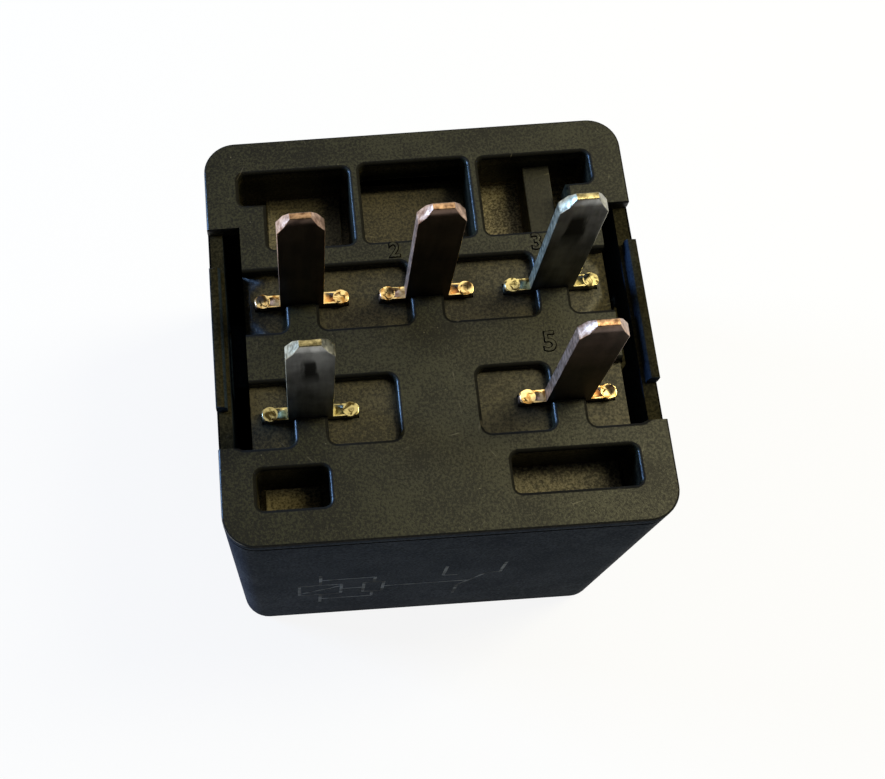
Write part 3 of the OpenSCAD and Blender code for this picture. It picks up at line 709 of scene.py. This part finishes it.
# Painted shade: sloped faces at the rim's seam get the black plastic.
for face in cover_piece.data.polygons:
    if 0.2 < face.normal.z < 0.98 and from_wall(face.center) < SEAM and face.center.z < depth(0.6):
        face.material_index = 1
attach(cover_piece, "relay")
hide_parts("cover")
print("softened", tongues, "edges of the tongues and", rim, "of the rim")

# %% [markdown]
# ### The terminals
# The terminals have sharp corners in the model too. Peening leaves the ends of the real shoulders round,
# and shearing leaves every long edge a little soft, which draws a thin light line beside the dark faces.
# A sculpted head would be closer still, but it would be lost at this size. In a copy of each terminal
# the shoulders' ends get a wide bevel, and the long sharp edges a narrow one. Splitting the flats into
# even triangles at the end keeps their shading flat.

# %% Rounded shoulders and softened edges on the terminals
SHOULDER_TOP = depth(0.15)
SHOULDER_END = 3.05*MM
SHOULDER_SLACK = 0.03*MM
SHARP = 28


def shoulder_end(edge, x):
    """True for the upright edges at the ends of a terminal's shoulders."""
    first, second = (v.co for v in edge.verts)
    upright = abs(first.z - second.z) > 1.5*MM
    return upright and all(abs(abs(v.x - x) - SHOULDER_END) < SHOULDER_SLACK for v in (first, second))


def sharp(edge):
    """A long outer edge that turns sharply, and isn't on top of the shoulders."""
    if len(edge.link_faces) != 2 or not edge.is_convex or edge.calc_length() < 0.5*MM:
        return False
    return not at_level(edge, SHOULDER_TOP) and edge.calc_face_angle() > radians(SHARP)


def round_terminal(node):
    """A copy of a terminal with round shoulder ends and softened edges."""
    piece = merged_copy(node, node + "_strip")
    ends = bevel(piece, lambda e: shoulder_end(e, PLACES[node][0]), 0.3, 4)
    count = bevel(piece, sharp, 0.04, 2)
    shade(piece, SHARP)
    cut = piece.modifiers.new("even triangles", "TRIANGULATE")
    cut.ngon_method = "BEAUTY"
    cut.keep_custom_normals = True
    bpy.ops.object.modifier_apply(modifier=cut.name)
    finish = FINISHES[node]
    fill_slots(piece, finish)
    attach(piece, "relay")
    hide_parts(node)
    print("rounded", ends, "shoulder ends and", count, "edges of", node)


for name in TERMINALS:
    round_terminal(name)

# %% [markdown]
# ## Copies of the spring and the braid
# The return spring hooks under the armature's tail and over a tab of the yoke, and the copper braid joins
# the two as well. Their lower ends move with the armature, and their upper ends stay. Each could be cut in
# two where it bends, but the cut would open. Here each is only copied, smoothed and given its finish, and
# the copy is tied to neither body.

# %% Copy the spring and the braid
def follow(node, name, finish):
    """A smooth-shaded copy of a piece with its finish, in place of the piece."""
    piece = merged_copy(node, name, flats=False)
    bpy.ops.object.shade_smooth_by_angle(angle=radians(50))
    fill_slots(piece, finish)
    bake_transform(piece)
    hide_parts(node)


follow("return_spring", "return_spring_wire", steel_finish)
follow("flexible_shunt", "flexible_braid", braid_finish)

# %% [markdown]
# ## Numbers beside the terminals
# Each terminal has its number moulded into the base beside it, standing a little proud, with a faint dark
# outline round it that is painted shade. Plain numbers one to five are used here. They could be drawn in the
# base's material, but raised edges catch the light by themselves. They start as text, become meshes, and are
# joined to one piece. A swollen, lower copy in the plastic of painted shade draws the outline.

# %% Moulded numbers
NUMBER_PLACES = [(-9.0, 5.1, 1.4), (-1.8, 5.15, 1.5), (7.5, 5.05, 1.6), (-8.6, -1.6, 1.9),
                 (7.4, -2.0, 1.9)]  # x, y and height of each number in millimetres
NUMBER_DEPTH = 0.1


def join(parts, name):
    """Joins pieces to one of that name."""
    deselect()
    for part in parts:
        part.select_set(True)
    bpy.context.view_layer.objects.active = parts[0]
    bpy.ops.object.join()
    piece = bpy.context.object
    piece.name = name
    return piece


def number(body, x, y, size, swell, proud):
    """One number as a mesh, swollen sideways and standing proud, in millimetres."""
    deselect()
    bpy.ops.object.text_add(location=(x*MM, y*MM, face_z + (proud - NUMBER_DEPTH)*MM))
    text = bpy.context.object.data
    text.body = body
    text.size = size*MM
    text.extrude = NUMBER_DEPTH*MM
    text.offset = swell*MM
    text.resolution_u = 3
    text.align_x = "CENTER"
    text.align_y = "CENTER"
    bpy.ops.object.convert(target="MESH")
    bpy.ops.object.transform_apply(location=True, rotation=True, scale=True)
    return bpy.context.object


def numbers_piece(name, finish, swell, proud):
    """The five numbers as one piece."""
    parts = [number(str(count), x, y, size, swell, proud)
             for count, (x, y, size) in enumerate(NUMBER_PLACES, 1)]
    piece = join(parts, name)
    fill_slots(piece, finish)
    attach(piece, "relay")
    print(name, "has", len(parts), "numbers")


# The outline of painted shade round each number.
numbers_piece("number_painted_shade", painted_shade_finish, swell=0.07, proud=0.012)
numbers_piece("terminal_numbers", base_finish, swell=0.0, proud=0.07)

# %% [markdown]
# ## Printed diagram
# The front of the cover carries a pad-printed wiring diagram in thin grey ink. This one is a plain
# changeover contact beside a coil. A mask in the cover's material could draw it, but every line would
# need its own formula. Here each line is a thin bar, moved onto the cover's face, which leans in toward
# the closed end.

# %% Lines of the diagram
LINE_WIDTH = 0.22
INK = 0.024  # a real film of ink is thinner still, but would flicker against the face
LEAN = 0.2


def front_y(z):
    """Where the cover's front face is, at a height in millimetres."""
    return cover_low[1]/MM + LEAN*(1 - z/(cover_high[2]/MM))


def bar(x0, z0, x1, z1):
    """One printed line between two points of the front face, in millimetres."""
    deselect()
    start, end = Vector((x0, 0, z0)), Vector((x1, 0, z1))
    bpy.ops.mesh.primitive_cube_add(size=1, location=(start + end)/2*MM)
    line = bpy.context.object
    line.scale = ((end - start).length*MM, INK*MM, LINE_WIDTH*MM)
    line.rotation_euler = (0, -atan2(z1 - z0, x1 - x0), 0)
    bpy.ops.object.transform_apply(location=True, rotation=True, scale=True)
    for v in line.data.vertices:
        v.co.y += front_y(v.co.z/MM)*MM
    return line


COIL_LINES = [(-8, 6, -8, 9), (-9.5, 9, -6.5, 9), (-9.5, 12.5, -6.5, 12.5), (-9.5, 9, -9.5, 12.5),
              (-6.5, 9, -6.5, 12.5), (-8, 12.5, -8, 16), (-9.5, 9.6, -6.5, 11.9)]
CONTACT_LINES = [(2, 6, 2, 9.2), (2, 9.2, 3.6, 13), (0.6, 13.2, 0.6, 16.5), (0.6, 13.2, 1.6, 13.2),
                 (4.6, 13.2, 4.6, 16.5), (3.7, 13.2, 4.6, 13.2), (-3.5, 10.75, 2.6, 10.75),
                 (-6.5, 10.75, -4.9, 10.75)]
RESISTOR_LINES = [(-4.2, 7.2, -4.2, 9), (-4.9, 9, -3.5, 9), (-4.9, 12.5, -3.5, 12.5),
                  (-4.9, 9, -4.9, 12.5), (-3.5, 9, -3.5, 12.5), (-4.2, 12.5, -4.2, 14.3),
                  (-8, 7.2, -4.2, 7.2), (-8, 14.3, -4.2, 14.3)]
lines = [bar(*line) for line in COIL_LINES + CONTACT_LINES + RESISTOR_LINES]
print("drew", len(lines), "lines")
diagram = join(lines, "printed_diagram")

# %% Ink of the diagram
# Pad-printing ink: a thin dull grey, rubbed nearly away in patches.
ink_finish, tree = new_material("grey pad-printing ink")
rub = add(tree, NOISE, Vector=add(tree, COORDINATES).outputs["Object"], Scale=per_mm(1.1), Detail=4.0)
tone = add(tree, MIX, COLOURS, Factor=add(tree, RANGE, Value=rub, From_Min=0.4, From_Max=0.6),
           **pair("#23282c", "#666c72"))
add(tree, OUTPUT, Surface=add(tree, SURFACE, Base_Color=tone, Roughness=0.6, Specular_IOR_Level=0.02))
fill_slots(diagram, ink_finish)
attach(diagram, "relay")
print("inked", diagram.name)

# %% [markdown]
# ## Studio
# A wide pale floor, one large soft lamp above and to the right, two small reflectors further right, and
# a cool weak window low on the left. One lamp could light it all, but the reflectors warm the near right
# of the base, and the window draws the bluish stripes at the mouths. The floor could be lit up to white,
# yet that would wash out the relay. It glows only for the camera and in reflections, and still takes the
# shadow.

# %% Floor
FLOOR_SIZE = 4
GLOW_SHARE = 0.9

deselect()
bpy.ops.mesh.primitive_plane_add(size=FLOOR_SIZE, location=(0, 0, 0))
floor = bpy.context.object
floor.name = "floor"
# Matt white paint: an even white ground with a soft shadow under the relay.
floor_paint, tree = new_material("matt white floor paint")
diffuse = add(tree, "ShaderNodeBsdfDiffuse", Color=colour("#f2f2f2"))
glow = add(tree, "ShaderNodeEmission", Color=(1, 1, 1, 1), Strength=1.0)
path = add(tree, "ShaderNodeLightPath")
seen = add(tree, MATH, LARGER, _0=path.outputs["Is Camera Ray"], _1=path.outputs["Is Glossy Ray"])
seen = add(tree, MATH, LARGER, _0=seen, _1=path.outputs["Is Transmission Ray"])
part = add(tree, MATH, TIMES, _0=seen, _1=GLOW_SHARE)
add(tree, OUTPUT, Surface=add(tree, "ShaderNodeMixShader", _0=part, _1=diffuse, _2=glow))
fill_slots(floor, floor_paint)
print("floor", FLOOR_SIZE, "m wide")

# %% Lamps and world
MIDDLE = Vector((0, 0, 20))*MM
WORLD_STRENGTH = 0.07


def lamp(name, place, size, power, tint):
    """A soft lamp that looks at the relay's middle, its place and size in millimetres."""
    data = bpy.data.lights.new(name, "AREA")
    data.shape = "RECTANGLE"
    data.size, data.size_y = size[0]*MM, size[1]*MM
    data.energy = power
    data.color = colour(tint)[:3]
    item = bpy.data.objects.new(name, data)
    bpy.context.scene.collection.objects.link(item)
    start = Vector(place)*MM
    look = (MIDDLE - start).to_track_quat("-Z", "Y").to_matrix().to_4x4()
    item.matrix_world = Matrix.Translation(start) @ look
    print(name, "of", power, "W")


lamp("overhead softbox", (115, 140, 300), (400, 270), 0.42, "#fbf4d8")
lamp("right reflector", (135, 40, 295), (70, 70), 0.38, "#fbf0bb")
lamp("far right reflector", (210, 60, 230), (90, 90), 0.45, "#fbf0bb")
lamp("left window", (-300, 95, 88), (90, 100), 2.0, "#8db9f8")
world = bpy.data.worlds.new("studio")
world.use_nodes = True
background = world.node_tree.nodes["Background"]
background.inputs["Color"].default_value = colour("#dfe3e8")
background.inputs["Strength"].default_value = WORLD_STRENGTH
bpy.context.scene.world = world
bpy.context.scene.view_settings.view_transform = "Standard"
